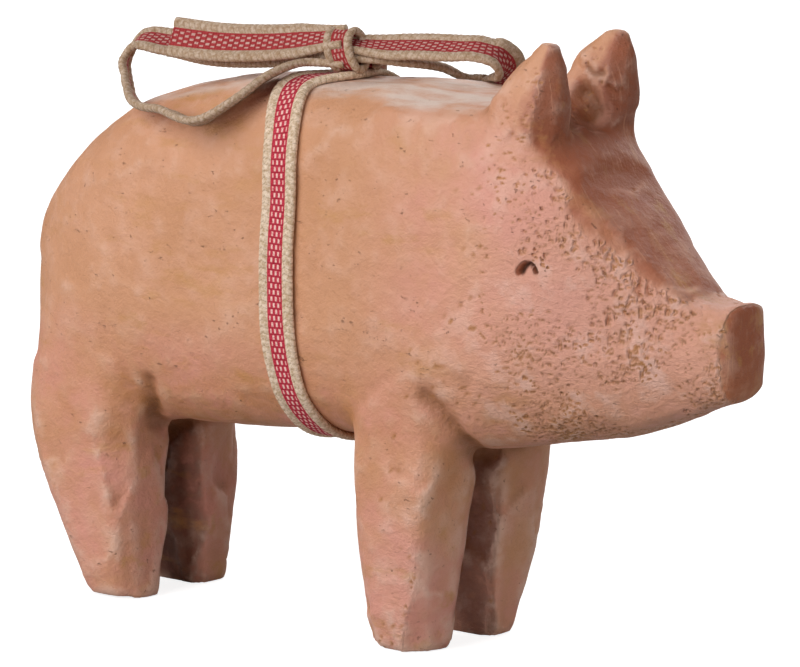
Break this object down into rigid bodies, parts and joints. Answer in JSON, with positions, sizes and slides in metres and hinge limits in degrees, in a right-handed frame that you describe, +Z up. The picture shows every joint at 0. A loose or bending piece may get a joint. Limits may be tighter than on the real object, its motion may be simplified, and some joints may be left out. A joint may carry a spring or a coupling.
{
  "type": "pig figurine",
  "caption": "Carved wooden pig standing on tapered faceted legs, painted a rubbed pink, with upright ears, a flat snout and a striped woven ribbon tied in a bow round its belly.",
  "frame": {"origin": "on the floor, under the middle of the figure's bounding box", "axes": "+X to the snout, +Y to the pig's left, +Z up"},
  "size_m": [0.205, 0.0559, 0.1449],
  "materials": {
    "painted_wood": "matte rubbed paint over hand-carved wood",
    "dowel_wood": "bare turned wood",
    "ribbon": "narrow woven ribbon, natural edges and a red middle"
  },
  "bodies": {
    "root": {"body_block": "painted_wood", "front_right_leg": "painted_wood", "front_left_leg": "painted_wood", "hind_right_leg": "painted_wood", "hind_left_leg": "painted_wood", "right_ear": "painted_wood", "left_ear": "painted_wood", "leg_dowels": "dowel_wood", "ear_dowels": "dowel_wood", "ribbon_band": "ribbon", "ribbon_knot": "ribbon", "ribbon_rear_loop": "ribbon", "ribbon_front_loop": "ribbon", "ribbon_rear_tail": "ribbon", "ribbon_front_tail": "ribbon"}
  },
  "joints": []
}
